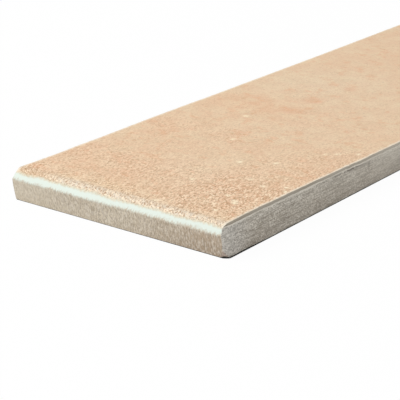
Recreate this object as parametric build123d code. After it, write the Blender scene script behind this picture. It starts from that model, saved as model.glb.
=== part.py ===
from build123d import *
import os
from math import sqrt

# Brick look porcelain tile: one dry pressed, printed, glazed and fired slab.
# Millimetres. It lies on its back, glazed face up, with its length along Y.
# The origin is on the back, in the middle of the tile.

# Slab
tile_length = 250.0       # at the foot of the end bevels, where the tile is longest
tile_width = 60.0         # between the two snapped long sides
tile_thickness = 8.0

# Pressed short ends
bevel_drop = 2.45         # from the glazed face down to the bevel's foot
bevel_run = 1.8           # how far the bevel climbs in over that drop
cushion_radius = 2.0      # rolls the bevel into the glazed face
end_draft = 1.45          # the end leans in by this from the bevel's foot to the back

# Long sides, scored from the face and snapped: the score leaves a smooth band set in above the break
score_depth = 0.7         # from the glazed face down to the ledge under the band
score_set_in = 0.15       # how far the band stands in from the snapped wall

# Key pattern on the back, for the adhesive
back_border = 5.0         # flat land round the pattern
pocket_pitch = 17.0       # nearest whole number of pockets is fitted to this
rib_width = 3.5           # land between two pockets
pocket_depth = 0.7
pocket_draft = 45.0       # degrees from upright, so that the pressing leaves its die
pocket_corner = 3.0       # corner radius of a pocket at its mouth

# Chip at the near right corner of the back
chip_reach = 1.7          # along each of the three edges that met there
chip_radius = 30.0        # the break is nearly flat, a very shallow hollow


def pressed_slab():
    """The lengthwise section, with drafted ends, bevels and cushion curves, carried across the width."""
    half_length = tile_length / 2
    foot_height = tile_thickness - bevel_drop
    section = Polygon(
        (end_draft - half_length, 0),
        (half_length - end_draft, 0),
        (half_length, foot_height),
        (half_length - bevel_run, tile_thickness),
        (bevel_run - half_length, tile_thickness),
        (-half_length, foot_height),
        align=None,
    )
    face_corners = section.vertices().group_by(Axis.Y)[-1]
    section = fillet(face_corners, cushion_radius)
    return extrude(Plane.YZ * section, tile_width / 2, both=True)


def scored_bands():
    """What the score takes from both long edges of the glazed face, a bar over the whole length of each."""
    bar = Box(2 * score_set_in, 2 * tile_length, 2 * score_depth)
    return [Pos(side * tile_width / 2, 0, tile_thickness) * bar for side in (-1, 1)]


def pocket_count(field):
    """How many pockets fit a stretch of the back at about the wanted pitch."""
    return max(1, round((field + rib_width) / pocket_pitch))


def key_pockets():
    """Shallow drafted pockets in rows, sized so that ribs of one width stand between them."""
    field_x = tile_width - 2 * back_border
    field_y = tile_length - 2 * (end_draft + back_border)
    columns = pocket_count(field_x)
    rows = pocket_count(field_y)
    pitch_x = (field_x + rib_width) / columns
    pitch_y = (field_y + rib_width) / rows
    mouth = RectangleRounded(pitch_x - rib_width, pitch_y - rib_width, pocket_corner)
    pocket = extrude(mouth, pocket_depth, taper=pocket_draft)
    return [place * pocket for place in GridLocations(pitch_x, pitch_y, columns, rows)]


def corner_chip():
    """A ball that bites the corner, set so that its surface crosses each edge at the chip's reach."""
    corner = Vector(tile_width / 2, end_draft - tile_length / 2, 0)
    outward = Vector(1, -1, -1).normalized()
    overshoot = sqrt(chip_radius**2 - 2 * chip_reach**2 / 3) - chip_reach / sqrt(3)
    return Pos(corner + outward * overshoot) * Sphere(chip_radius)


def tile():
    slab = pressed_slab()
    slab -= scored_bands()
    slab -= key_pockets()
    slab -= corner_chip()
    return slab


os.makedirs("parts", exist_ok=True)
export_step(tile(), "parts/tile.step")
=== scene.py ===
import math

import bpy
import numpy as np
from mathutils import Matrix, Vector


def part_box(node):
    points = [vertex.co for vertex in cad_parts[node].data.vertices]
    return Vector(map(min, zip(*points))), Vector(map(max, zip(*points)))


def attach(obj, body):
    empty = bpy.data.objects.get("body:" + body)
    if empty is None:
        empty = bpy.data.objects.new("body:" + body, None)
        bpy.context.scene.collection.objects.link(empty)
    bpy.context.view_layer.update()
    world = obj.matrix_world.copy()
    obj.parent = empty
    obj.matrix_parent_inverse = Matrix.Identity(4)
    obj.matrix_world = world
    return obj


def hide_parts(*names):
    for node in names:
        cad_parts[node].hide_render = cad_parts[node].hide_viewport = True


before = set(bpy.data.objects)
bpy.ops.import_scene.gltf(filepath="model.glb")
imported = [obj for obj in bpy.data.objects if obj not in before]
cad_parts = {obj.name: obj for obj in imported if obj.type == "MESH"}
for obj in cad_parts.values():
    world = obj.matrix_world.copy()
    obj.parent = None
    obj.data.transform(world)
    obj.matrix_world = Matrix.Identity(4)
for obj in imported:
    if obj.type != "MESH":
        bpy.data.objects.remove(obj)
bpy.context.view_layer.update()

# Brick look porcelain tile. Sizes here are millimetres unless a name says otherwise.
MM = 0.001
low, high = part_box("tile")
WIDTH, LENGTH, THICKNESS = ((high[i] - low[i]) / MM for i in range(3))

# Pressed short end: cushion, bevel, foot and drafted wall
BEVEL_DROP = 2.45
BEVEL_RUN = 1.8
CUSHION_RADIUS = 1.5
END_DRAFT = 1.45
FOOT_RADIUS = 0.35
FOOT_HEIGHT = THICKNESS - BEVEL_DROP
# Its section starts on the face, this far in from the bevel, and its two arcs have these steps
SECTION_START = 8.0
CUSHION_STEPS = 6
FOOT_STEPS = 3

# Key pattern on the back
BACK_BORDER = 5.0
POCKET_PITCH = 17.0
RIB_WIDTH = 3.5
POCKET_DEPTH = 0.7
POCKET_CORNER = 3.0

# Long sides, scored from the face and snapped
SCORE_DEPTH = 0.8
SCORE_SET_IN = 0.15
# How far the snapped walls stand in at the back
LEFT_BACK_IN = 0.0
RIGHT_BACK_IN = 0.48
# The same at their tops, at places along the tile
LEFT_TOP_IN = (
    (-125.0, 0.35),
    (-118.0, 0.6),
    (-108.5, 0.78),
    (-101.8, 0.56),
    (-95.0, 0.71),
    (-88.0, 0.63),
    (-73.3, 0.46),
    (-58.2, 0.56),
    (-50.0, 0.74),
    (-24.0, 0.81),
    (4.0, 0.74),
    (60.0, 0.5),
    (125.0, 0.7),
)
# The right break steps out by some 0.4 mm between -76 and -68
RIGHT_TOP_IN = (
    (-125.0, 0.93),
    (-121.0, 1.23),
    (-116.0, 1.43),
    (-98.0, 1.15),
    (-76.0, 0.65),
    (-70.0, 0.37),
    (-68.5, 0.26),
    (-64.5, 0.30),
    (-61.5, 0.20),
    (-54.0, 0.02),
    (-10.0, 0.25),
    (40.0, 0.05),
    (90.0, 0.3),
    (125.0, 0.6),
)

# Depth over which a wall turns from its inset at the top to the one at the back
WALL_TURN = 5.0
# Slow wander of a wall, roughness of the break, and how far the glaze's rim has crumbled over its height
WALL_WANDER = 0.10
BREAK_ROUGHNESS = 0.04
RIM_CRUMBLE = 0.07
RIM_HEIGHT = 0.2
# Height over which the wall steps out at the ledge, and over which the break below it turns rough
LEDGE_STEP = 0.09
LEDGE_FADE = 0.3
# How far the ledge wanders up and down, and how much further about one place along the tile
LEDGE_WANDER = 0.14
WILD_WANDER = 0.16
WILD_PLACE = -74.0
WILD_REACH = 8.0

# How far the near right corner is broken away at each depth below the face, and over what length of the
# side. The other corners are only worn.
CORNER_IN = ((0.0, 0.05), (0.5, 0.3), (1.0, 0.75), (1.6, 0.46), (3.2, 0.56), (5.3, 0.92), (8.0, 0.85))
CORNER_REACH = 2.6
WORN_CORNER = 0.06
WORN_REACH = 1.1

# Pits in the right side: place along the tile, depth below the face, radius and how deep
SIDE_PITS = (
    (-122.6, 0.75, 0.45, 0.30),
    (-121.8, 3.3, 0.40, 0.15),
    (-77.0, 1.25, 0.50, 0.22),
    (-74.6, 1.10, 0.60, 0.30),
    (-72.3, 1.35, 0.45, 0.25),
    (-70.6, 1.05, 0.55, 0.30),
    (-86.5, 1.15, 0.45, 0.18),
)

# Painted shade in the pits and under the overhang of the right ledge, as dark dashes: places along the
# tile, and how deep below the face their line runs
DASH_LINE = ((-84.0, 1.15), (-72.0, 1.4), (-65.0, 1.65))
DASH_PLACE = -73.5
DASH_REACH = 8.5
DASH_WIDTH = 0.22
# The stroke that runs down where they end
STROKE_PLACE = -64.8
STROKE_WIDTH = 0.4
STROKE_TOP = 1.2
STROKE_FADES = 2.4

# Radius to which the edge of the back is worn
EDGE_WEAR = 0.06
# How far that edge stands off the floor all round, how much more under the right half of the ends, and in
# a bell about a place in the broken stretch of the right side
EDGE_LIFT = 0.11
END_LIFT = 0.04
BROKEN_LIFT = 0.24
BROKEN_PLACE = -117.0
BROKEN_REACH = 7.0
# The lift fades out over this height
LIFT_HEIGHT = 1.5

# Chip at the near right corner of the back
CHIP_REACH = (2.0, 1.75, 3.3)
CHIP_RADIUS = 30.0

# Relief of the glazed face, each as a depth: swells, lumps, granules and pits, and the fall to the right
SWELL_DEPTH = 0.10
LUMP_DEPTH = 0.04
GRANULE_DEPTH = 0.06
PIT_DEPTH = 0.06
RIGHT_FALL = 0.10
# It is whole down to a depth below the face, and fades out over the next stretch
RELIEF_WHOLE = 0.2
RELIEF_FADE = 1.6

# Mesh: steps along one side of a back cell, and how many fine steps meet each of them
CELL_STEPS = 12
FINE_STEPS = 3
# How much the face's rows crowd towards its edges, across and along
CROWD_ACROSS = 0.35
CROWD_ALONG = 0.25
# The rows of the sides bend over this length, to meet the rows of the ends
END_BEND = 5.0
# The sides move the points of the face and the back that lie this near to them
SIDE_BLEND = 4.0
# Edges bent by more than this many degrees are shown sharp
SHARP_ANGLE = 40.0
# Points are one when they agree to a thousandth of a millimetre. The shift keeps round numbers off the
# borders between two such steps.
WELD_FINENESS = 1000.0
WELD_SHIFT = 0.137

# Noise: how many random numbers it draws on, how far it is slid, and primes that spread cubes over them
NOISE_TABLE = 4096
NOISE_SLIDE = 97.0
PRIMES = (73856093, 19349663, 83492791)


def smooth(t):
    """Zero below 0, one above 1, and an s-curve 3t^2 - 2t^3 between."""
    t = np.clip(t, 0.0, 1.0)
    return t * t * (3.0 - 2.0 * t)


def noise(x, y, z, cell, seed):
    """Value noise from 0 to 1: random numbers at the corners of cubes of one cell, blended by s-curves."""
    rng = np.random.default_rng(seed)
    table = rng.random(NOISE_TABLE)
    places = np.stack([x / cell, y / cell, z / cell]) + rng.random((3, 1)) * NOISE_SLIDE
    corner = np.floor(places).astype(np.int64)
    blend = smooth(places - corner)
    total = np.zeros(places.shape[1])
    for step in range(8):
        shift = np.array([[step & 1], [step >> 1 & 1], [step >> 2 & 1]])
        i, j, k = corner + shift
        value = table[(i * PRIMES[0] ^ j * PRIMES[1] ^ k * PRIMES[2]) % NOISE_TABLE]
        total += value * np.prod(np.where(shift, blend, 1.0 - blend), axis=0)
    return total


def octaves(x, y, z, cell, seed, count=3):
    """Value noise added to itself at half the size and half the strength, scaled back to 0 to 1."""
    total, weight = 0.0, 0.0
    for step in range(count):
        share = 0.5**step
        total = total + share * noise(x, y, z, cell * share, seed + step)
        weight += share
    return total / weight


def rounded_path(points, radii, steps):
    """A path of straight runs with a tangent arc at each inner corner.
    Each arc is the fillet circle of its radius, cut into the given number of steps."""
    points = np.asarray(points, float)
    path = [points[0]]
    for before, corner, after, radius, count in zip(points, points[1:], points[2:], radii, steps):
        to_before = (before - corner) / np.linalg.norm(before - corner)
        to_after = (after - corner) / np.linalg.norm(after - corner)
        half = math.acos(np.dot(to_before, to_after)) / 2
        axis = (to_before + to_after) / np.linalg.norm(to_before + to_after)
        centre = corner + axis * radius / math.sin(half)
        sweep = np.linspace(half - math.pi / 2, math.pi / 2 - half, count + 1)
        side = (to_after - np.dot(to_after, axis) * axis) / math.sin(half)
        arc = centre - radius * (np.cos(sweep)[:, None] * axis - np.sin(sweep)[:, None] * side)
        path.extend(arc)
    path.append(points[-1])
    return np.array(path)


def split(path, run, shares):
    """The path with points put into one of its runs, at shares of that run."""
    between = path[run] + np.outer(shares, path[run + 1] - path[run])
    return np.insert(path, run + 1, between, axis=0)


# Rows down the bevel and down the drafted wall, as shares of each
BEVEL_SHARES = (1 / 3, 2 / 3)
WALL_SHARES = (0.18, 0.35, 0.52, 0.68, 0.82, 0.92, 0.965, 0.99)


def end_rows():
    """The short end from the glazed face down to the back: how far each row stands in, and its height."""
    corners = [
        (BEVEL_RUN + SECTION_START, THICKNESS),
        (BEVEL_RUN, THICKNESS),
        (0.0, FOOT_HEIGHT),
        (END_DRAFT, 0.0),
    ]
    path = rounded_path(corners, (CUSHION_RADIUS, FOOT_RADIUS), (CUSHION_STEPS, FOOT_STEPS))[1:]
    path = split(path, len(path) - 2, WALL_SHARES)
    return split(path, CUSHION_STEPS, BEVEL_SHARES)


# How deep below the glazed face each row of a long side lies, as a share of the score or of the rest
SCORE_ROWS = (0.0, 0.15, 0.35, 0.65, 0.93)
REST_ROWS = (0.0, 0.015, 0.04, 0.08, 0.13, 0.19, 0.27, 0.36, 0.46,
             0.56, 0.66, 0.75, 0.83, 0.89, 0.94, 0.98, 1.0)


def side_depths():
    """Row depths of a long side: through the scored band, over its ledge and down the snapped wall."""
    score = [share * SCORE_DEPTH for share in SCORE_ROWS]
    rest = [SCORE_DEPTH + share * (THICKNESS - SCORE_DEPTH) for share in REST_ROWS]
    return np.array(score + rest)


def crowded(limit, count, pull):
    """Places from -limit to limit that crowd together towards both ends."""
    t = np.linspace(-1.0, 1.0, count + 1)
    return limit * (t * (1.0 + pull) - t**3 * pull)


def grid(points):
    """Quads between neighbours on a grid of points, listed row by row."""
    rows, columns = points.shape[:2]
    corner = np.arange(rows * columns).reshape(rows, columns)
    quads = np.stack([corner[:-1, :-1], corner[:-1, 1:], corner[1:, 1:], corner[1:, :-1]], axis=-1)
    return points.reshape(-1, 3), quads.reshape(-1, 4)


def face_patch(across, along):
    """The glazed face, flat, before its relief."""
    x, y = np.meshgrid(across, along)
    return np.stack([x, y, np.full_like(x, THICKNESS)], axis=-1)


def end_patch(across, rows, direction):
    """One short end: the row profile carried straight across the width."""
    x, run = np.meshgrid(across, rows[:, 0])
    height = np.repeat(rows[:, 1:], len(across), axis=1)
    return np.stack([x, direction * (LENGTH / 2 - run), height], axis=-1)


def end_bend(along):
    """One at both ends of the rows along the tile, falling by an s-curve to zero further in."""
    return 1.0 - smooth((along.max() - np.abs(along)) / END_BEND)


def side_patch(along, rows, depths, direction):
    """One long side: rows at their own depths, bent near both ends to meet the rows of the ends."""
    y, depth = np.meshgrid(along, depths)
    bend = end_bend(y)
    height = (THICKNESS - depth) * (1.0 - bend) + rows[:, 1:] * bend
    out = (rows[0, 0] - rows[:, :1]) * bend
    return np.stack([np.full_like(y, direction * WIDTH / 2), y + np.sign(y) * out, height], axis=-1)


def square_loop(steps):
    """Points round a square from -1 to 1, the same number on each side, counterclockwise from a corner."""
    t = np.linspace(-1.0, 1.0, steps, endpoint=False)
    one = np.ones_like(t)
    sides = [(t, -one), (one, t), (-t, one), (-one, -t)]
    return np.concatenate([np.stack(side, axis=1) for side in sides])


def rounded_loop(loop, half_x, half_y, radius):
    """The square loop drawn out to a rectangle, with its corners pulled in to an arc."""
    spot = loop * (half_x, half_y)
    inner = np.clip(spot, (radius - half_x, radius - half_y), (half_x - radius, half_y - radius))
    reach = spot - inner
    length = np.linalg.norm(reach, axis=1, keepdims=True)
    return inner + reach * np.where(length > 0, radius / np.maximum(length, 1e-9), 0.0)


# Pocket wall, from the rib down to the floor: distance in from the mouth, and depth as a share
POCKET_RINGS = ((-0.3, 0.0), (0.05, 0.1), (0.35, 0.5), (0.65, 0.9), (1.0, 1.0))


def back_layout():
    """Columns, rows and pitches of the key pattern, as the pressing die has them."""
    field_x = WIDTH - 2 * BACK_BORDER
    field_y = LENGTH - 2 * (END_DRAFT + BACK_BORDER)
    columns = round((field_x + RIB_WIDTH) / POCKET_PITCH)
    rows = round((field_y + RIB_WIDTH) / POCKET_PITCH)
    return columns, rows, (field_x + RIB_WIDTH) / columns, (field_y + RIB_WIDTH) / rows


def back_cell(pitch_x, pitch_y):
    """One cell of the back: rings from the cell's square edge over the rib and down into the pocket."""
    loop = square_loop(CELL_STEPS)
    half_x, half_y = (pitch_x - RIB_WIDTH) / 2, (pitch_y - RIB_WIDTH) / 2
    rings = [np.column_stack([loop * (pitch_x / 2, pitch_y / 2), np.zeros(len(loop))])]
    for inward, share in POCKET_RINGS:
        ring = rounded_loop(loop, half_x - inward, half_y - inward, POCKET_CORNER - inward)
        rings.append(np.column_stack([ring, np.full(len(loop), share * POCKET_DEPTH)]))
    centre = np.array([0.0, 0.0, POCKET_DEPTH])
    rings.append(centre + (rings[-1] - centre) * 0.5)
    rings.append(np.broadcast_to(centre, rings[-1].shape))
    closed = [np.vstack([ring, ring[:1]]) for ring in rings]
    return np.stack(closed)


def edge_loop(x, y):
    """Points round a rectangle, counterclockwise from its lowest corner, at the given x and y places."""
    bottom = np.stack([x[:-1], np.full(len(x) - 1, y[0])], axis=1)
    right = np.stack([np.full(len(y) - 1, x[-1]), y[:-1]], axis=1)
    top = np.stack([x[:0:-1], np.full(len(x) - 1, y[-1])], axis=1)
    left = np.stack([np.full(len(y) - 1, x[0]), y[:0:-1]], axis=1)
    return np.vstack([bottom, right, top, left])


def back_border(across, along):
    """The flat land round the key pattern: triangles that join its coarse edge to the tile's fine edge."""
    columns, rows, pitch_x, pitch_y = back_layout()
    x = np.linspace(-1, 1, columns * CELL_STEPS + 1) * pitch_x * columns / 2
    y = np.linspace(-1, 1, rows * CELL_STEPS + 1) * pitch_y * rows / 2
    inner = edge_loop(x, y)
    outer = edge_loop(across, along)
    count = len(inner)
    a = np.arange(count)
    b = (a + 1) % count
    fine = FINE_STEPS * a[:, None] + np.arange(FINE_STEPS + 1)
    fine = count + fine % len(outer)
    fan_a = [np.stack([a, fine[:, 1], fine[:, 0]], axis=1)]
    fan_b = [np.stack([b, fine[:, k + 1], fine[:, k]], axis=1) for k in range(1, FINE_STEPS)]
    between = [np.stack([a, b, fine[:, 1]], axis=1)]
    flat = np.vstack([inner, outer])
    return np.column_stack([flat, np.zeros(len(flat))]), np.vstack(fan_a + fan_b + between)


def below_ledge(x, y, depth):
    """How far a point of a long side lies below the ragged ledge where the score ends and the break starts.
    The ledge lies at the depth of the score, and noise from -1 to 1 moves it up and down. The noise counts
    for a little all along, and for more in a bell about one place."""
    ragged = LEDGE_WANDER + WILD_WANDER * np.exp(-(((y - WILD_PLACE) / WILD_REACH) ** 2))
    return depth - SCORE_DEPTH - ragged * (octaves(x, y, 0 * y, 1.5, 21) - 0.5) * 2.0


def side_inset(x, y, depth):
    """How far a long side stands in from the slab's full width.
    The wall runs by an s-curve from its inset at the top to its inset at the back, both with the same slow
    wander, the scored band is set in above a ragged ledge, the break below is rough and pitted, the edge of
    the back is worn to an arc, and each corner is drawn in by a square law, most at the near right one,
    which is broken away."""
    right, left = (np.interp(y, *np.array(table).T) for table in (RIGHT_TOP_IN, LEFT_TOP_IN))
    top_in = np.where(x > 0, right, left)
    top_in = top_in + WALL_WANDER * octaves(y, x, 0 * y, 8.0, 11)
    back_in = np.where(x > 0, RIGHT_BACK_IN, LEFT_BACK_IN)
    inset = top_in + (back_in - top_in) * smooth(depth / WALL_TURN)
    ledge = below_ledge(x, y, depth)
    inset += SCORE_SET_IN * (1.0 - smooth(ledge / LEDGE_STEP))
    inset += RIM_CRUMBLE * (1.0 - smooth(depth / RIM_HEIGHT)) * octaves(x, y, 0 * y, 1.1, 31)
    rough = octaves(x, y * 0.5, depth, 2.2, 41) + 0.6 * noise(x, y * 0.25, depth * 1.4, 0.9, 47)
    inset += BREAK_ROUGHNESS * rough * smooth(ledge / LEDGE_FADE)
    for place, deep, radius, hollow in SIDE_PITS:
        distance = ((y - place) ** 2 + (depth - deep) ** 2) / radius**2
        inset += np.where(x > 0, hollow, 0.0) * np.exp(-distance)
    worn = np.clip((depth - THICKNESS + EDGE_WEAR) / EDGE_WEAR, 0.0, 1.0)
    inset += EDGE_WEAR * (1.0 - np.sqrt(1.0 - worn**2))
    end_run = np.interp(depth, (0.0, BEVEL_DROP, THICKNESS), (BEVEL_RUN, 0.0, END_DRAFT))
    from_end = LENGTH / 2 - np.abs(y) - end_run
    broken = (x > 0) & (y < 0)
    reach = np.where(broken, CORNER_REACH, WORN_REACH)
    amount = np.where(broken, np.interp(depth, *np.array(CORNER_IN).T), WORN_CORNER)
    ragged = 0.8 + 0.4 * octaves(x, y, depth, 1.3, 53)
    return inset + np.clip(1.0 - from_end / reach, 0.0, 1.0) ** 2 * amount * ragged


def edge_lift(x, y):
    """How far the worn edge of the back stands off the floor: the same all round, with a bell added along
    the broken stretch of the right side, and an s-curve that rises to the right under both ends."""
    bell = np.exp(-(((y - BROKEN_PLACE) / BROKEN_REACH) ** 2))
    side = EDGE_LIFT + np.where(x > 0, BROKEN_LIFT, 0.0) * bell
    end = EDGE_LIFT + END_LIFT * smooth((x + 10.0) / 30.0)
    on_side = smooth((np.abs(x) - WIDTH / 2 + 0.5) / 0.5)
    on_end = smooth((np.abs(y) - LENGTH / 2 + END_DRAFT + 0.5) / 0.5)
    return np.maximum(side * on_side, end * on_end)


def grain_patches(x, y):
    """Where the face is coarse, from 0 to 1: a bell along each end, weaker at the left, and an s-curve
    across a wedge that is broad at the near end and narrows by a cube law along the right edge. Both are
    broken up by slow noise, over a base that fades with distance from the near end."""
    zero = 0 * x
    from_near = y + LENGTH / 2
    drift = octaves(x, y, zero, 15.0, 61)
    border = 2.0 + 12.0 * (from_near / 55.0) ** 3 + 10.0 * (drift - 0.5)
    wedge = smooth((x - border) / 14.0) * (1.0 - 0.45 * smooth((from_near - 15.0) / 25.0))
    strip = np.exp(-(from_near / 8.0) ** 2) + np.exp(-((LENGTH - from_near) / 8.0) ** 2)
    strip *= 0.5 + 0.5 * smooth((x + 24.0) / 10.0)
    away = np.exp(-from_near / 65.0)
    base = 0.03 + 0.44 * away + 0.3 * away * smooth((drift - 0.45) / 0.3)
    return np.clip(base + (0.5 + 0.6 * drift) * np.maximum(0.55 * wedge, 0.6 * strip), 0.0, 1.0)


def face_relief(x, y):
    """How far the face lies below its highest plane: noise at 42 mm for swells and at 9 mm for lumps, noise
    at 1.1 mm for granules and the peaks of noise at 1.6 mm for pits, both where the face is coarse, and an
    s-curve that falls towards the right edge. Real granules are finer: these are as coarse as the mesh
    needs, and the grain of the glaze lies over them."""
    zero = 0 * x
    swell = octaves(x, y, zero, 42.0, 71, 2)
    lumps = octaves(x, y, zero, 9.0, 73, 2)
    granules = noise(x, y, zero, 1.1, 77)
    pits = smooth((noise(x, y, zero, 1.6, 79) - 0.8) / 0.12)
    coarse = grain_patches(x, y)
    slow = RIGHT_FALL * smooth((x - 5.0) / 25.0) + SWELL_DEPTH * swell + LUMP_DEPTH * lumps
    return slow + coarse * (GRANULE_DEPTH * (1.0 - granules) + PIT_DEPTH * pits)


def chip(points):
    """Pushes the corner's points out of a ball, so that the break is the ball's own hollow. The ball passes
    through one point on each of the three edges that met there: its centre is the centre of the circle
    through them, moved outwards square to their plane."""
    corner = np.array([WIDTH / 2 - RIGHT_BACK_IN, END_DRAFT - LENGTH / 2, 0.0])
    along_end, along_side, upright = corner + np.diag(CHIP_REACH) * (-1.0, 1.0, 1.0)
    first, second = along_side - along_end, upright - along_end
    across = np.cross(second, first)
    middle = np.cross(across, second) * (first @ first) + np.cross(first, across) * (second @ second)
    middle /= -2 * (across @ across)
    outward = across / np.linalg.norm(across)
    outward *= np.sign(outward @ (1.0, -1.0, -1.0))
    centre = along_end + middle + outward * math.sqrt(CHIP_RADIUS**2 - middle @ middle)
    reach = points - centre
    distance = np.linalg.norm(reach, axis=1)
    inside = distance < CHIP_RADIUS
    moved = centre + reach * (CHIP_RADIUS / np.maximum(distance, 1e-6))[:, None]
    return np.where(inside[:, None], moved, points), inside


def shape_surface(base):
    """Moves each point of the plain tile to its place on the real one, by its place alone: the sides draw
    in what lies near them, the edge of the back is worn to an arc and lifted, and the face sinks by its
    relief, each less the further away."""
    x, y, z = base.T
    depth = THICKNESS - z
    on_face = 1.0 - smooth((depth - RELIEF_WHOLE) / RELIEF_FADE)
    near_edge = smooth((np.abs(x) - WIDTH / 2 + SIDE_BLEND) / SIDE_BLEND)
    new_x = x - np.sign(x) * side_inset(x, y, depth) * near_edge
    worn = np.clip(1.0 - z / EDGE_WEAR, 0.0, 1.0) * smooth((np.abs(y) - LENGTH / 2 + 4.0) / 2.0)
    new_y = y - np.sign(y) * EDGE_WEAR * (1.0 - np.sqrt(1.0 - worn**2))
    new_z = z - face_relief(x, y) * on_face + edge_lift(x, y) * np.clip(1.0 - z / LIFT_HEIGHT, 0.0, 1.0)
    return chip(np.stack([new_x, new_y, new_z], axis=1))


FACE, END, SIDE, BACK, CHIP = range(5)


def tile_mesh():
    """Every patch of the tile, welded into one closed surface, with its part of the tile on each face."""
    columns, rows, pitch_x, pitch_y = back_layout()
    profile = end_rows()
    depths = side_depths()
    across = crowded(WIDTH / 2, columns * CELL_STEPS * FINE_STEPS, CROWD_ACROSS)
    along = crowded(LENGTH / 2 - profile[0, 0], rows * CELL_STEPS * FINE_STEPS, CROWD_ALONG)
    foot_row = np.argmin(profile[:, 0])
    patches = [(face_patch(across, along), FACE, False)]
    for direction in (-1, 1):
        end = end_patch(across, profile, direction)
        patches.append((end[: foot_row + 1], FACE, direction < 0))
        patches.append((end[foot_row:], END, direction < 0))
        patches.append((side_patch(along, profile, depths, direction), SIDE, direction > 0))
    cell = back_cell(pitch_x, pitch_y)
    for i in range(columns):
        for j in range(rows):
            place = ((i - (columns - 1) / 2) * pitch_x, (j - (rows - 1) / 2) * pitch_y, 0.0)
            patches.append((cell + place, BACK, True))
    points, quads, parts = [], [], []
    total = 0
    for patch, part, flip in patches:
        places, faces = grid(patch)
        points.append(places)
        quads.append(total + (faces[:, ::-1] if flip else faces))
        parts.append(np.full(len(faces), part))
        total += len(places)
    out = (profile[0, 0] - profile[-1, 0]) * end_bend(along)
    border, triangles = back_border(across, along + np.sign(along) * out)
    points.append(border)
    return weld(np.vstack(points), np.vstack(quads), np.concatenate(parts), triangles + total)


def weld(points, quads, parts, triangles):
    """Merges points that share a place. A quad with one edge shrunk to a point becomes a triangle."""
    keys = np.round(points * WELD_FINENESS + WELD_SHIFT).astype(np.int64)
    first, index = np.unique(keys, axis=0, return_index=True, return_inverse=True)[1:]
    index = index.reshape(-1)
    quads = index[quads]
    shrunk = quads == np.roll(quads, -1, axis=1)
    whole = ~shrunk.any(axis=1)
    cone = shrunk.sum(axis=1) == 1
    order = (np.argmax(shrunk[cone], axis=1)[:, None] + (1, 2, 3)) % 4
    cones = np.take_along_axis(quads[cone], order, axis=1)
    triangles = np.vstack([cones, index[triangles]])
    parts = np.concatenate([parts[whole], parts[cone], np.full(len(triangles) - len(cones), BACK)])
    return points[first], quads[whole], triangles, parts


def srgb(code):
    """A hex colour turned to linear light."""
    values = [int(code[i : i + 2], 16) / 255 for i in (1, 3, 5)]
    linear = [v / 12.92 if v <= 0.04045 else ((v + 0.055) / 1.055) ** 2.4 for v in values]
    return (*linear, 1.0)


def add(tree, kind, links=None, **settings):
    """Adds a node, sets its properties, and links or sets its inputs by name or number. A node given as a
    link stands for its first output."""
    made = tree.nodes.new(kind)
    for name, value in settings.items():
        setattr(made, name, value)
    for key, value in (links or {}).items():
        socket = made.inputs[key]
        if isinstance(value, bpy.types.Node):
            value = value.outputs[0]
        if isinstance(value, bpy.types.NodeSocket):
            tree.links.new(value, socket)
        else:
            socket.default_value = value
    return made


def speckle(tree, place, size, low_edge, high_edge, stretch=(1.0, 1.0, 1.0), detail=2.0):
    """Noise of one feature size in millimetres, drawn out along each axis by a stretch, pushed to a soft
    threshold between two levels."""
    squeeze = [1.0 / reach for reach in stretch]
    squeezed = add(tree, "ShaderNodeMapping", {"Vector": place, "Scale": squeeze})
    cloud = add(tree, "ShaderNodeTexNoise", {
        "Vector": squeezed, "Scale": 1.0 / (size * MM), "Detail": detail, "Roughness": 0.55})
    return add(tree, "ShaderNodeMapRange", {
        "Value": cloud.outputs["Fac"], "From Min": low_edge, "From Max": high_edge},
        interpolation_type="SMOOTHSTEP")


def stain(tree, colour, code, mask, strength=1.0):
    """Lays a second colour over the first where a mask says, at a strength that may itself be a mask."""
    share = add(tree, "ShaderNodeMath", {0: mask, 1: strength}, operation="MULTIPLY")
    mixed = add(tree, "ShaderNodeMix", {0: share, 6: colour, 7: srgb(code)}, data_type="RGBA")
    return mixed.outputs[2]


def grainy(tree, colour, place, size, stretch, tones, strength):
    """Stains packed grains of one size in millimetres, drawn out along each axis by a stretch. Each grain
    has a random tone from 0 to 1, and each colour comes with the tones where it starts and is full."""
    squeeze = [1.0 / reach for reach in stretch]
    squeezed = add(tree, "ShaderNodeMapping", {"Vector": place, "Scale": squeeze})
    cells = add(tree, "ShaderNodeTexVoronoi", {"Vector": squeezed, "Scale": 1.0 / (size * MM)})
    tone = add(tree, "ShaderNodeSeparateColor", {0: cells.outputs["Color"]})
    for code, start, full in tones:
        chosen = add(tree, "ShaderNodeMapRange", {"Value": tone, "From Min": start, "From Max": full})
        colour = stain(tree, colour, code, chosen, strength)
    return colour, cells.outputs["Distance"]


# Refractive index of the glaze, and of the vitrified body
GLAZE_IOR = 1.5
BODY_IOR = 1.52


def blank_tree(owner):
    """The node tree of a new material or world, emptied."""
    owner.use_nodes = True
    owner.node_tree.nodes.clear()
    return owner.node_tree


def new_material(name, roughness, ior):
    """A material with its shader, and the object's own coordinates."""
    material = bpy.data.materials.new(name)
    tree = blank_tree(material)
    shader = add(tree, "ShaderNodeBsdfPrincipled", {"Roughness": roughness, "IOR": ior})
    add(tree, "ShaderNodeOutputMaterial", {"Surface": shader})
    place = add(tree, "ShaderNodeTexCoord").outputs["Object"]
    return material, tree, shader, place


def join_surface(tree, shader, colour, height, depth, invert=False):
    """Gives the shader its colour, and a relief of some depth in millimetres from a height of 0 to 1."""
    relief = add(tree, "ShaderNodeBump", {"Height": height, "Distance": depth * MM}, invert=invert)
    tree.links.new(colour, shader.inputs["Base Color"])
    tree.links.new(relief.outputs[0], shader.inputs["Normal"])


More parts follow.
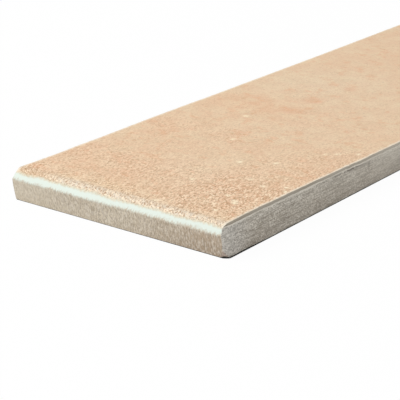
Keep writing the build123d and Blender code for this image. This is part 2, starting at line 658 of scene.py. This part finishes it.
# Sizes of the finest patterns. Real granules, grains and scratches are 0.05 to 0.15 mm wide, less than the
# 0.22 mm that a pixel covers at the near corner, so they are drawn as coarse as they need to show.
GLAZE_GRAIN = 0.24
BODY_GRAIN = 0.2
BODY_GRIT = 0.26
SCORE_SCRATCH = 0.26
ENGOBE_STREAK = 0.36

# White engobe under the glaze: how far below the bevel's foot it runs, and the height over which it becomes
# whole, at the left and at the right
ENGOBE = "#DBE4DA"
ENGOBE_BELOW = 0.4
ENGOBE_RISE = (1.0, 1.35)


def engobe_cover(tree, place, parts):
    """Where white engobe covers the end. It starts just below the bevel's foot and is whole about 1 mm
    higher, a little more slowly at the right, in fine upright streaks."""
    rise = add(tree, "ShaderNodeMapRange", {
        "Value": parts["X"], "From Min": -12.0 * MM, "From Max": 24.0 * MM,
        "To Min": ENGOBE_RISE[0] * MM, "To Max": ENGOBE_RISE[1] * MM})
    foot = (FOOT_HEIGHT - ENGOBE_BELOW) * MM
    above = add(tree, "ShaderNodeMath", {0: parts["Z"], 1: foot}, operation="SUBTRACT")
    climbed = add(tree, "ShaderNodeMath", {0: above, 1: rise}, operation="DIVIDE")
    streaks = speckle(tree, place, ENGOBE_STREAK, 0.25, 0.75, (1.0, 1.0, 12.0), 3.0)
    blots = speckle(tree, place, 4.0, 0.3, 0.7, (1.0, 1.0, 3.0))
    shifted = add(tree, "ShaderNodeMath", {0: blots, 1: 0.5, 2: streaks}, operation="MULTIPLY_ADD")
    run = add(tree, "ShaderNodeMath", {0: shifted, 1: 0.5, 2: climbed}, operation="MULTIPLY_ADD")
    return add(tree, "ShaderNodeMapRange", {"Value": run, "From Min": 0.35, "From Max": 1.25},
               interpolation_type="SMOOTHSTEP")


# Mottle of the print: colour, size, the levels of noise between which a blot fades in, and strength
PRINT_MOTTLE = (
    ("#E9D5B3", 5.0, 0.36, 0.66, 0.45),
    ("#DFA77C", 3.1, 0.54, 0.70, 0.45),
    ("#D6C4A1", 6.3, 0.50, 0.68, 0.20),
    ("#C99E77", 0.9, 0.52, 0.72, 0.3),
)

# Depths below the face between which the glaze thins over the bevel, and between which it ends, and how far
# each of two noises lowers both
GLAZE_THINS = (0.25, 0.75)
GLAZE_ENDS = (0.55, 1.15)
GLAZE_RAGGED = 0.34


def matt_printed_glaze():
    """Ink-jet printed matt glaze over white engobe, fired: a dry, chalky peach face, mottled and grainy,
    that gives way to the bare white engobe where the bevel falls off."""
    material, tree, shader, place = new_material("matt_printed_glaze_over_engobe", 0.62, GLAZE_IOR)
    parts = add(tree, "ShaderNodeSeparateXYZ", {0: place}).outputs
    names = ("warmth", "coarseness", "cream", "rolled", "thinning", "blushes", "flecks", "rim")
    marks = {name: add(tree, "ShaderNodeAttribute", attribute_name=name).outputs["Fac"] for name in names}
    coarse = marks["coarseness"]
    # The ground tone, its mottle, and a redder tone where the grain is coarse
    colour = stain(tree, srgb("#E2C9A9"), "#E1B893", marks["warmth"])
    for code, size, low_edge, high_edge, strength in PRINT_MOTTLE:
        colour = stain(tree, colour, code, speckle(tree, place, size, low_edge, high_edge), strength)
    colour = stain(tree, colour, "#E4AA84", coarse, 0.3)
    # Cream beside the ends. On the cushion a duller tone, painted shade that keeps it from showing brighter
    # than the face where it tilts towards the lamp, and then a paler tone
    patchy = add(tree, "ShaderNodeMath", {0: speckle(tree, place, 1.3, 0.35, 0.65), 1: 0.4, 2: 0.4},
                 operation="MULTIPLY_ADD")
    colour = stain(tree, colour, "#EAD3AA", marks["cream"], patchy)
    colour = stain(tree, colour, "#D2B697", marks["rolled"], 0.8)
    colour = stain(tree, colour, "#E1D9C9", marks["thinning"], patchy)
    # Pale and dark granules, and scattered dark specks
    tones = (("#FBE6C8", 0.55, 0.95), ("#AE8862", 0.45, 0.05))
    colour, from_middle = grainy(tree, colour, place, GLAZE_GRAIN, (1.0, 2.2, 1.0), tones, coarse)
    specks = speckle(tree, place, 0.55, 0.66, 0.74, (1.0, 1.0, 3.0), 1.0)
    colour = stain(tree, colour, "#8F7256", specks, 0.35)
    # Single blushes and flecks of the print, and a pale rim beside the snapped sides
    colour = stain(tree, colour, "#D8956A", marks["blushes"], 0.25)
    colour = stain(tree, colour, "#F9EACB", marks["flecks"], speckle(tree, place, 0.5, 0.35, 0.5))
    colour = stain(tree, colour, "#F1E8D4", marks["rim"], patchy)
    # Over the bevel the glaze thins and ends on a ragged line, and below the engobe the body shows
    ragged = speckle(tree, place, 0.7, 0.2, 0.8)
    slow = speckle(tree, place, 7.0, 0.3, 0.7)
    wavy = add(tree, "ShaderNodeMath", {0: ragged, 1: slow}, operation="ADD")
    height = add(tree, "ShaderNodeMath", {0: wavy, 1: GLAZE_RAGGED * MM, 2: parts["Z"]},
                 operation="MULTIPLY_ADD")
    fades = []
    for start, end in (GLAZE_THINS, GLAZE_ENDS):
        fades.append(add(tree, "ShaderNodeMapRange", {
            "Value": height, "From Min": (THICKNESS - end) * MM, "From Max": (THICKNESS - start) * MM,
            "To Min": 1.0, "To Max": 0.0}, interpolation_type="SMOOTHSTEP"))
    thin, bare = fades
    colour = stain(tree, colour, "#D3CDB4", thin, 0.65)
    colour = stain(tree, colour, ENGOBE, bare)
    cover = engobe_cover(tree, place, parts)
    uncovered = add(tree, "ShaderNodeMath", {0: 1.0, 1: cover}, operation="SUBTRACT")
    colour = stain(tree, colour, "#B9A78F", uncovered)
    printed = add(tree, "ShaderNodeMath", {0: 1.0, 1: bare}, operation="SUBTRACT")
    rough = add(tree, "ShaderNodeMath", {0: coarse, 1: printed}, operation="MULTIPLY")
    relief = add(tree, "ShaderNodeMath", {0: from_middle, 1: rough}, operation="MULTIPLY")
    join_surface(tree, shader, colour, relief, 0.04, invert=True)
    return material


# Upright streaks of the pressing, also drawn coarser than they are: colour, width, and the levels of noise
# between which one fades in
PRESS_STREAKS = (("#8F7D68", 0.24, 0.44, 0.60), ("#ECE4D6", 0.28, 0.46, 0.64))


def pressed_body():
    """Vitrified porcelain body as it left the die: beige, dull, with upright streaks from the pressing,
    browner towards the right, and short runs of white engobe from the bevel above."""
    material, tree, shader, place = new_material("pressed_vitrified_body", 0.75, BODY_IOR)
    parts = add(tree, "ShaderNodeSeparateXYZ", {0: place}).outputs
    clouds = speckle(tree, place, 9.0, 0.35, 0.65)
    browner = add(tree, "ShaderNodeMapRange", {"Value": parts["X"], "From Min": 0.0, "From Max": 24.0 * MM},
                  interpolation_type="SMOOTHSTEP")
    lower = add(tree, "ShaderNodeMapRange", {
        "Value": parts["Z"], "From Min": 0.5 * MM, "From Max": 4.5 * MM, "To Min": 1.0, "To Max": 0.0})
    colour = stain(tree, srgb("#D3C7B2"), "#BDAA93", browner)
    darker = add(tree, "ShaderNodeMath", {0: browner, 1: 0.6}, operation="MULTIPLY")
    colour = stain(tree, colour, "#A18E79", lower, darker)
    colour = stain(tree, colour, "#C2B49E", clouds, 0.35)
    sharper = add(tree, "ShaderNodeMapRange", {
        "Value": parts["X"], "From Min": -26.0 * MM, "From Max": -12.0 * MM, "To Min": 0.25, "To Max": 0.5})
    for code, width, low_edge, high_edge in PRESS_STREAKS:
        streaks = speckle(tree, place, width, low_edge, high_edge, (1.0, 1.0, 25.0), 1.0)
        colour = stain(tree, colour, code, streaks, sharper)
    grit = speckle(tree, place, BODY_GRIT, 0.48, 0.66, (1.0, 1.0, 1.6))
    gritty = add(tree, "ShaderNodeMath", {0: sharper, 1: 0.7}, operation="MULTIPLY")
    colour = stain(tree, colour, "#93836F", grit, gritty)
    colour = stain(tree, colour, ENGOBE, engobe_cover(tree, place, parts))
    join_surface(tree, shader, colour, grit, 0.05)
    return material


# Colours down a snapped side, by millimetres below the ledge: the engobe's pale line over the scored band,
# the smooth darker band, the bright ledge, a painted highlight where it catches the light, and the grey
# break
SIDE_COLOURS = (
    (-0.82, "#E6DCC8"),
    (-0.76, "#DCD2BF"),
    (-0.68, "#A69C8C"),
    (-0.05, "#9B9181"),
    (0.0, "#F2ECDF"),
    (0.24, "#E8E0D1"),
    (0.44, "#C9C1B2"),
    (1.0, "#C7BFB1"),
    (2.4, "#BEB5A6"),
    (5.0, "#B3A99A"),
    (7.3, "#A99F90"),
)

# Distances from the near end over which the painted light beside the corner, a cool grey tone where the
# break turns towards the end, fades out
CORNER_LIGHT_FADE = (2.5, 13.0)


def snapped_body():
    """Vitrified body broken along a scored line: a smooth darker band at the top with the engobe's pale
    line over it, a bright ragged ledge, a painted highlight where it catches the light, dark dashes of
    painted shade under it, and a grey granular break below, with painted light beside the near corner: a
    cool grey tone where the break turns towards the end."""
    material, tree, shader, place = new_material("snapped_vitrified_body", 0.72, BODY_IOR)
    parts = add(tree, "ShaderNodeSeparateXYZ", {0: place}).outputs
    ledge = add(tree, "ShaderNodeAttribute", attribute_name="below_ledge").outputs["Fac"]
    start, end = SIDE_COLOURS[0][0], SIDE_COLOURS[-1][0]
    share = add(tree, "ShaderNodeMapRange", {"Value": ledge, "From Min": start, "From Max": end})
    ramp = add(tree, "ShaderNodeValToRGB", {0: share})
    elements = ramp.color_ramp.elements
    while len(elements) < len(SIDE_COLOURS):
        elements.new(0.5)
    for element, (depth, code) in zip(elements, SIDE_COLOURS):
        element.position = (depth - start) / (end - start)
        element.color = srgb(code)
    broken = add(tree, "ShaderNodeMapRange", {"Value": ledge, "From Min": 0.0, "From Max": 0.4})
    scored = speckle(tree, place, SCORE_SCRATCH, 0.46, 0.60, (1.0, 24.0, 1.0), 1.0)
    dashes = add(tree, "ShaderNodeAttribute", attribute_name="dashes").outputs["Fac"]
    clouds = speckle(tree, place, 6.0, 0.35, 0.65, (1.0, 2.0, 1.0))
    # Painted light beside the near corner: a cool grey tone where the break turns towards the end and
    # catches light
    beside = add(tree, "ShaderNodeMapRange", {
        "Value": parts["Y"], "From Min": (CORNER_LIGHT_FADE[0] - LENGTH / 2) * MM,
        "From Max": (CORNER_LIGHT_FADE[1] - LENGTH / 2) * MM, "To Min": 1.0, "To Max": 0.0},
        interpolation_type="SMOOTHSTEP")
    corner_light_share = add(tree, "ShaderNodeMath", {0: broken, 1: 0.45}, operation="MULTIPLY")
    colour = stain(tree, ramp, "#C5C4C2", beside, corner_light_share)
    colour = stain(tree, colour, "#C9C3B6", clouds, 0.25)
    away = add(tree, "ShaderNodeMapRange", {
        "Value": parts["Y"], "From Min": -100.0 * MM, "From Max": -55.0 * MM})
    colour = stain(tree, colour, "#D5CDBF", away, 0.35)
    rougher = add(tree, "ShaderNodeMapRange", {"Value": away, "To Min": 0.5, "To Max": 0.28})
    shown = add(tree, "ShaderNodeMath", {0: broken, 1: rougher}, operation="MULTIPLY")
    tones = (("#F3EDE2", 0.45, 0.9), ("#63594C", 0.45, 0.0))
    colour, from_middle = grainy(tree, colour, place, BODY_GRAIN, (1.0, 2.2, 1.0), tones, shown)
    apart = add(tree, "ShaderNodeMath", {0: beside, 1: -0.7, 2: 1.0}, operation="MULTIPLY_ADD")
    streaked = add(tree, "ShaderNodeMath", {0: shown, 1: apart}, operation="MULTIPLY")
    colour = stain(tree, colour, "#7D7365", scored, streaked)
    # Painted shade: dark dashes in the pits and under the overhang of the ledge
    colour = stain(tree, colour, "#5E554A", dashes, 0.9)
    join_surface(tree, shader, colour, from_middle, 0.03, invert=True)
    return material


def back_body():
    """The unglazed back as fired on rollers: body colour under a thin, patchy pale wash."""
    material, tree, shader, place = new_material("unglazed_back_with_kiln_wash", 0.82, BODY_IOR)
    parts = add(tree, "ShaderNodeSeparateXYZ", {0: place}).outputs
    grit = speckle(tree, place, 0.8, 0.35, 0.65)
    land = add(tree, "ShaderNodeMapRange", {
        "Value": parts["Z"], "From Min": 0.0, "From Max": 0.4 * MM, "To Min": 1.0, "To Max": 0.0})
    wash = speckle(tree, place, 11.0, 0.38, 0.62, detail=4.0)
    colour = stain(tree, srgb("#BBAE9A"), "#CDC4B3", wash)
    colour = stain(tree, colour, "#9E8F7B", grit, 0.25)
    colour = stain(tree, colour, "#D9D2C3", land, 0.35)
    join_surface(tree, shader, colour, grit, 0.05)
    return material


def fresh_break():
    """The shallow hollow of the corner chip: raw body, browner and a little glassy."""
    material, tree, shader, place = new_material("chipped_vitrified_body", 0.6, BODY_IOR)
    grit = speckle(tree, place, 0.6, 0.35, 0.65, detail=3.0)
    colour = stain(tree, srgb("#A29083"), "#BBAA9C", grit)
    join_surface(tree, shader, colour, grit, 0.06)
    return material


# Where the print is warm or pale, as the photo shows it: x, y, radius, and how much warmer (+) or paler (-)
PRINT_CLOUDS = (
    (-16.0, -48.0, 11.0, 0.50),
    (-21.0, -75.0, 9.0, 0.35),
    (-18.0, -105.0, 14.0, 0.30),
    (21.0, -107.0, 11.0, 0.30),
    (3.0, -98.0, 9.0, -0.4),
    (6.0, -63.0, 7.0, -0.35),
    (-13.0, -17.0, 14.0, -0.55),
    (-5.0, 60.0, 30.0, 0.2),
)

# Cream flecks and orange blushes of the print: x, y, half length along x and half width along y
CREAM_FLECKS = (
    (22.6, -111.05, 0.55, 0.65),
    (22.1, -110.3, 0.5, 0.6),
    (23.1, -111.8, 0.5, 0.6),
    (28.6, -98.5, 0.7, 0.7),
    (17.2, -96.4, 0.4, 0.5),
    (21.7, -98.8, 0.45, 0.5),
    (19.0, -108.5, 0.5, 0.5),
    (22.2, -117.8, 0.4, 0.5),
    (8.5, -121.1, 0.5, 0.5),
    (6.5, -104.8, 0.4, 0.6),
    (-3.2, -74.7, 0.5, 0.7),
    (8.1, -88.0, 0.45, 0.7),
    (15.3, -83.4, 0.45, 0.7),
    (26.4, -96.2, 0.4, 0.5),
    (27.0, -65.2, 0.4, 0.6),
    (23.0, -68.4, 0.4, 0.6),
    (20.7, -70.4, 0.4, 0.6),
    (-11.4, -56.8, 0.5, 0.7),
)
ORANGE_BLUSHES = (
    (26.9, -117.8, 1.1, 0.7),
    (5.9, -117.7, 1.0, 0.6),
    (-20.4, -115.3, 1.2, 0.8),
    (-22.4, -124.1, 1.5, 0.4),
    (-26.7, -120.3, 1.2, 0.8),
    (-4.7, -45.2, 3.0, 3.4),
    (-5.5, -33.8, 2.2, 2.4),
    (-3.3, -18.1, 1.8, 2.0),
)
# Their bells are drawn this high and cut off at one, which gives them flat tops
BELL_HEIGHT = 1.6


def spots(x, y, places):
    """The highest of a set of flat-topped bells, each drawn out to its own length and width."""
    cover = 0.0 * x
    for spot_x, spot_y, half_length, half_width in places:
        distance = ((x - spot_x) / half_length) ** 2 + ((y - spot_y) / half_width) ** 2
        cover = np.maximum(cover, BELL_HEIGHT * np.exp(-distance))
    return np.minimum(cover, 1.0)


def print_warmth(x, y):
    """Warm and pale clouds of the print: round blots with soft edges, over slow noise."""
    warmth = 0.5 + 0.5 * (octaves(x, y, 0 * x, 26.0, 91) - 0.5)
    for cloud_x, cloud_y, radius, amount in PRINT_CLOUDS:
        distance = ((x - cloud_x) ** 2 + (y - cloud_y) ** 2) / radius**2
        warmth += amount * np.exp(-distance)
    return np.clip(warmth, 0.0, 1.0)


# How far cream reaches in from an end, at places across the tile
CREAM_REACH = ((-30.0, 1.6), (-22.0, 2.0), (-15.0, 6.0), (-4.0, 7.5), (6.0, 4.5), (16.0, 4.0), (30.0, 4.5))


def cream_cover(x, y):
    """Cream where the print is thin: a strip beside each end, by the square law of a bell."""
    from_end = LENGTH / 2 - np.abs(y)
    reach = np.interp(x, *np.array(CREAM_REACH).T) * (0.7 + 0.6 * octaves(x, y, 0 * x, 7.0, 97))
    return np.exp(-(from_end / reach) ** 2)


# The cushion's painted shade, a duller tone against the light that its tilt towards the lamp adds, reaches
# this far in. Its paler tone is missing at the left: it starts at a place across the tile and is full over
# the next stretch.
ROLLED_REACH = 1.5
THINNING_START = -23.0
THINNING_FADE = 9.0
# The pale rim beside the snapped sides, and the stretch over which it starts
RIM_WIDTH = 0.75
RIM_FADE = 0.4


def rolled_edge(y):
    """The cushion where the face rolls into the bevel: one on the bevel, then a bell inwards."""
    above = np.maximum(LENGTH / 2 - np.abs(y) - BEVEL_RUN, 0.0)
    return np.exp(-(above / ROLLED_REACH) ** 2)


def ledge_shade_dashes(x, y, depth):
    """Dark dashes under the ledge, painted shade of its pits and overhang: a narrow bell across a line that
    sinks towards the far end, within a stretch that ends by a sixth power law, broken up by noise. Where
    they end a stroke, another bell, runs down and fades out by an s-curve."""
    line = np.interp(y, *np.array(DASH_LINE).T)
    stretch = np.exp(-(((y - DASH_PLACE) / DASH_REACH) ** 6))
    dashes = np.exp(-(((depth - line) / DASH_WIDTH) ** 2)) * stretch
    dashes *= smooth((noise(x, y, 0 * y, 0.9, 58) - 0.32) / 0.2)
    down = smooth((depth - STROKE_TOP) / 0.3) * (1.0 - smooth(depth - STROKE_FADES))
    return np.maximum(dashes, 0.6 * down * np.exp(-(((y - STROKE_PLACE) / STROKE_WIDTH) ** 2)))


def surface_marks(x, y, depth):
    """What the materials read at each point of the plain tile: marks from 0 to 1, and the depth below the
    ledge in millimetres."""
    rolled = rolled_edge(y)
    return {
        "warmth": print_warmth(x, y),
        "coarseness": grain_patches(x, y),
        "cream": cream_cover(x, y),
        "rolled": rolled,
        "thinning": rolled * smooth((x - THINNING_START) / THINNING_FADE),
        "flecks": spots(x, y, CREAM_FLECKS),
        "blushes": spots(x, y, ORANGE_BLUSHES),
        "rim": smooth((np.abs(x) - WIDTH / 2 + RIM_WIDTH) / RIM_FADE),
        "below_ledge": below_ledge(x, y, depth),
        "dashes": np.where(x > 0, ledge_shade_dashes(x, y, depth), 0.0),
    }


def make_tile():
    """The tile as one object: the plain surface shaped point by point, with its marks and materials."""
    base, quads, triangles, parts = tile_mesh()
    points, chipped = shape_surface(base)
    mesh = bpy.data.meshes.new("porcelain_tile")
    mesh.from_pydata((points * MM).tolist(), [], quads.tolist() + triangles.tolist())
    mesh.update()
    in_chip = np.concatenate([chipped[quads].all(axis=1), chipped[triangles].all(axis=1)])
    mesh.polygons.foreach_set("material_index", np.where(in_chip, CHIP, parts).astype(np.int32))
    x, y, z = base.T
    for name, values in surface_marks(x, y, THICKNESS - z).items():
        mesh.attributes.new(name, "FLOAT", "POINT").data.foreach_set("value", values.astype(np.float32))
    for make in (matt_printed_glaze, pressed_body, snapped_body, back_body, fresh_break):
        mesh.materials.append(make())
    mesh.shade_smooth()
    mesh.set_sharp_from_angle(angle=math.radians(SHARP_ANGLE))
    tile = bpy.data.objects.new("porcelain_tile", mesh)
    bpy.context.scene.collection.objects.link(tile)
    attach(tile, "root")
    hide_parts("tile")


def seen_directly(tree):
    """One for rays from the camera and for mirrored or refracted ones, zero for the light that bounces."""
    rays = add(tree, "ShaderNodeLightPath").outputs
    mirrored = add(tree, "ShaderNodeMath", {0: rays["Is Glossy Ray"], 1: rays["Is Transmission Ray"]},
                   operation="MAXIMUM")
    return add(tree, "ShaderNodeMath", {0: rays["Is Camera Ray"], 1: mirrored}, operation="MAXIMUM")


WHITE = (1.0, 1.0, 1.0, 1.0)

# Floor: half its side, in metres, and how far it lies below the tile
FLOOR_HALF = 4.0
FLOOR_GAP = 0.02
# The covered floor ends this far in from the foot of the tile's ends, under their worn edge
COVERED_INSET = 0.14
# Covered floor takes painted shade in its paper colour where what lies within this reach leaves less than
# the first share of sky open, and is darkest at the second
SHADE_REACH = 0.6
OPEN_SKY = 0.95
HIDDEN_SKY = 0.7
# Brightness of the paper in the open, and of the painted shade that darkens its colour at the most
PAPER_WHITE = 0.94
PAPER_PAINTED_SHADE = 0.05
# Share of the open floor that the camera sees as plain white. The rest is paper, which takes the shadow.
WHITE_SHARE = 0.96


def make_floor():
    """A level white floor that shows white to the camera and keeps a soft shadow of the tile, and the dark
    line where its worn edge stands off, from the real gap and from painted shade in the paper under the
    tile.
    It is see-through from below, and lets soft light up to the tile's back, so that the back can be looked
    at.
    It lies a hair below the tile, so that the two never meet."""
    corners = ((-1, -1), (1, -1), (1, 1), (-1, 1))
    corners = [(i * FLOOR_HALF, j * FLOOR_HALF, -FLOOR_GAP * MM) for i, j in corners]
    mesh = bpy.data.meshes.new("studio_floor")
    mesh.from_pydata(corners, [], [(0, 1, 2, 3)])
    floor = bpy.data.objects.new("studio_floor", mesh)
    material = bpy.data.materials.new("white_paper_sweep")
    tree = blank_tree(material)
    place = add(tree, "ShaderNodeTexCoord").outputs["Object"]
    parts = add(tree, "ShaderNodeSeparateXYZ", {0: place}).outputs
    # Where the tile covers the floor, and the painted shade in the paper there
    end = LENGTH / 2 - END_DRAFT - COVERED_INSET
    covered = 1.0
    for axis, start, stop in (("X", LEFT_BACK_IN - WIDTH / 2, WIDTH / 2 - RIGHT_BACK_IN), ("Y", -end, end)):
        middle, half = (start + stop) / 2 * MM, (stop - start) / 2 * MM
        within = add(tree, "ShaderNodeMath", {0: parts[axis], 1: middle, 2: half}, operation="COMPARE")
        covered = add(tree, "ShaderNodeMath", {0: covered, 1: within}, operation="MULTIPLY")
    near = add(tree, "ShaderNodeAmbientOcclusion", {"Distance": SHADE_REACH * MM}, samples=8)
    shaded = add(tree, "ShaderNodeMapRange", {
        "Value": near.outputs["AO"], "From Min": OPEN_SKY, "From Max": HIDDEN_SKY})
    painted_shade = add(tree, "ShaderNodeMath", {0: covered, 1: shaded}, operation="MULTIPLY")
    grey = add(tree, "ShaderNodeMapRange", {"Value": painted_shade, "To Min": PAPER_WHITE, "To Max": PAPER_PAINTED_SHADE})
    paper = add(tree, "ShaderNodeBsdfDiffuse", {"Color": grey})
    # Plain white where the floor is seen directly and nothing darkens it
    white = add(tree, "ShaderNodeEmission", {"Color": WHITE, "Strength": 1.0})
    seen = seen_directly(tree)
    lit = add(tree, "ShaderNodeMath", {0: seen, 1: WHITE_SHARE}, operation="MULTIPLY")
    open_floor = add(tree, "ShaderNodeMath", {0: 1.0, 1: painted_shade}, operation="SUBTRACT")
    share = add(tree, "ShaderNodeMath", {0: lit, 1: open_floor}, operation="MULTIPLY")
    shown = add(tree, "ShaderNodeMixShader", {0: share, 1: paper, 2: white})
    # See-through from below, and for light that bounces under the tile
    below = add(tree, "ShaderNodeNewGeometry").outputs["Backfacing"]
    unseen = add(tree, "ShaderNodeMath", {0: 1.0, 1: seen}, operation="SUBTRACT")
    under = add(tree, "ShaderNodeMath", {0: covered, 1: unseen}, operation="MULTIPLY")
    open_to = add(tree, "ShaderNodeMath", {0: below, 1: under}, operation="MAXIMUM")
    clear = add(tree, "ShaderNodeBsdfTransparent")
    sheet = add(tree, "ShaderNodeMixShader", {0: open_to, 1: shown, 2: clear})
    add(tree, "ShaderNodeOutputMaterial", {"Surface": sheet})
    mesh.materials.append(material)
    bpy.context.scene.collection.objects.link(floor)


# Brightness of the light from all round
SKY_LEVEL = 0.55


def make_world():
    """Even soft light all round, and plain white where the camera looks past the floor."""
    world = bpy.data.worlds.new("studio")
    bpy.context.scene.world = world
    tree = blank_tree(world)
    light = add(tree, "ShaderNodeBackground", {"Color": WHITE, "Strength": SKY_LEVEL})
    white = add(tree, "ShaderNodeBackground", {"Color": WHITE, "Strength": 1.0})
    shown = add(tree, "ShaderNodeMixShader", {0: seen_directly(tree), 1: light, 2: white})
    add(tree, "ShaderNodeOutputWorld", {"Surface": shown})


def area_light(name, direction, distance, size, level):
    """A square soft light aimed at the tile, sizes in metres. Level is the brightness that it gives a white
    card facing it."""
    light = bpy.data.lights.new(name, "AREA")
    light.shape = "SQUARE"
    light.size = size
    light.energy = level * math.pi**2 * distance**2
    holder = bpy.data.objects.new(name, light)
    away = Vector(direction).normalized()
    turn = away.to_track_quat("Z", "Y").to_matrix().to_4x4()
    holder.matrix_world = Matrix.Translation(away * distance) @ turn
    bpy.context.scene.collection.objects.link(holder)


# Camera, fitted to the tile's edges in a photo of 400 by 400 pixels: angles in degrees, and its sensor
CAMERA_AZIMUTH = 35.40
CAMERA_ELEVATION = 20.04
CAMERA_ROLL = 1.12
CAMERA_AIM = (16.35, -115.36, 8.1)
CAMERA_DISTANCE = 340.5
CAMERA_LENS = 140.97
CAMERA_SENSOR = 36.0
# The nearest that the camera sees, in metres
CAMERA_CLIP = 0.01


def make_camera():
    """Looks at a point on the face from an azimuth round from -Y, an elevation, and a small roll."""
    turn, lift, roll = (math.radians(a) for a in (CAMERA_AZIMUTH, CAMERA_ELEVATION, CAMERA_ROLL))
    back = Vector((math.sin(turn) * math.cos(lift), -math.cos(turn) * math.cos(lift), math.sin(lift)))
    right = Vector((math.cos(turn), math.sin(turn), 0.0))
    up = back.cross(right)
    rolled_right = math.cos(roll) * right + math.sin(roll) * up
    rolled_up = math.cos(roll) * up - math.sin(roll) * right
    data = bpy.data.cameras.new("camera")
    data.lens = CAMERA_LENS
    data.sensor_width = CAMERA_SENSOR
    data.clip_start = CAMERA_CLIP
    camera = bpy.data.objects.new("camera", data)
    place = Vector(CAMERA_AIM) * MM + back * CAMERA_DISTANCE * MM
    turned = Matrix((rolled_right, rolled_up, back)).transposed().to_4x4()
    camera.matrix_world = Matrix.Translation(place) @ turned
    bpy.context.scene.collection.objects.link(camera)
    bpy.context.scene.camera = camera


make_camera()
make_tile()
make_floor()
make_world()
area_light("key", direction=(-0.45, -0.5, 0.74), distance=1.2, size=0.7, level=0.61)
bpy.context.scene.view_settings.view_transform = "Standard"
